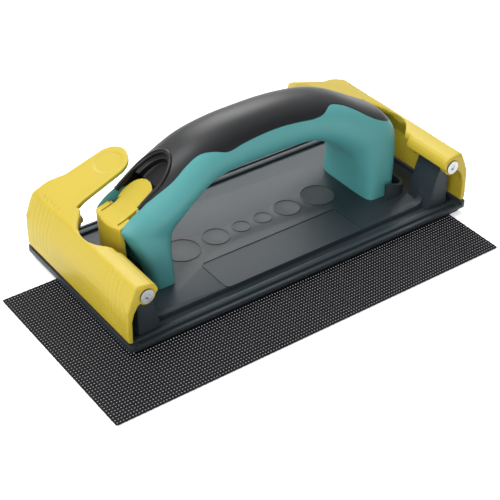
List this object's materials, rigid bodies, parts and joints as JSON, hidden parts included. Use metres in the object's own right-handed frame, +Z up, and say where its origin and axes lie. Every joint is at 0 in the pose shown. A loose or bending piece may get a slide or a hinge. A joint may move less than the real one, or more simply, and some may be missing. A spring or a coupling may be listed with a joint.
{
  "type": "hand sander",
  "caption": "Hand sander for abrasive mesh: flat padded plate, sprung clamp jaws at both ends, bridge handle with soft grip and release latch, loose mesh sheet below.",
  "frame": {"origin": "middle of the plate in plan, on the underside of the mesh sheet, which is the surface it rests on", "axes": "+X along the plate towards the end without the latch, +Y to the back, +Z up"},
  "size_m": [0.252, 0.1433, 0.0814],
  "materials": {
    "plate": "moulded dark grey, fine texture",
    "pad": "closed-cell foam, black",
    "mesh": "abrasive-coated open mesh",
    "clamp": "moulded yellow, satin",
    "handle": "moulded teal, satin",
    "grip": "soft overmould, fine matt texture",
    "pocket": "gloss black",
    "steel": "zinc-plated steel"
  },
  "bodies": {
    "sander": {"base_plate": "plate", "backing_pad": "pad", "pivot_screw_lf": "steel", "pivot_screw_lb": "steel", "pivot_screw_rf": "steel", "pivot_screw_rb": "steel", "pivot_nut_lf": "steel", "pivot_nut_lb": "steel", "pivot_nut_rf": "steel", "pivot_nut_rb": "steel", "clamp_spring_lf": "steel", "clamp_spring_lb": "steel", "clamp_spring_rf": "steel", "clamp_spring_rb": "steel", "handle": "handle", "soft_grip": "grip", "thumb_pocket": "pocket", "latch_pin": "steel", "latch_spring": "steel"},
    "left_jaw": {"left_clamp": "clamp"},
    "right_jaw": {"right_clamp": "clamp"},
    "latch_body": {"latch": "clamp"},
    "loose_sheet": {"sanding_mesh": "mesh"}
  },
  "joints": [
    {"name": "left_clamp_pivot", "type": "hinge", "parent": "sander", "child": "left_jaw", "pos_m": [-0.0989, 0, 0.0332], "axis": [0, 1, 0], "range_deg": [0, 25], "stiffness_Nm_per_rad": 1.2, "springref_deg": -20.05},
    {"name": "right_clamp_pivot", "type": "hinge", "parent": "sander", "child": "right_jaw", "pos_m": [0.0989, 0, 0.0332], "axis": [0, -1, 0], "range_deg": [0, 25], "stiffness_Nm_per_rad": 1.2, "springref_deg": -20.05},
    {"name": "latch_pivot", "type": "hinge", "parent": "sander", "child": "latch_body", "pos_m": [-0.0812, 0, 0.0424], "axis": [0, 1, 0], "range_deg": [0, 12], "stiffness_Nm_per_rad": 0.3, "springref_deg": -14.32},
    {"name": "sheet_slide", "type": "slide", "parent": "sander", "child": "loose_sheet", "axis": [0, -1, 0], "range_m": [0, 0.09]}
  ]
}
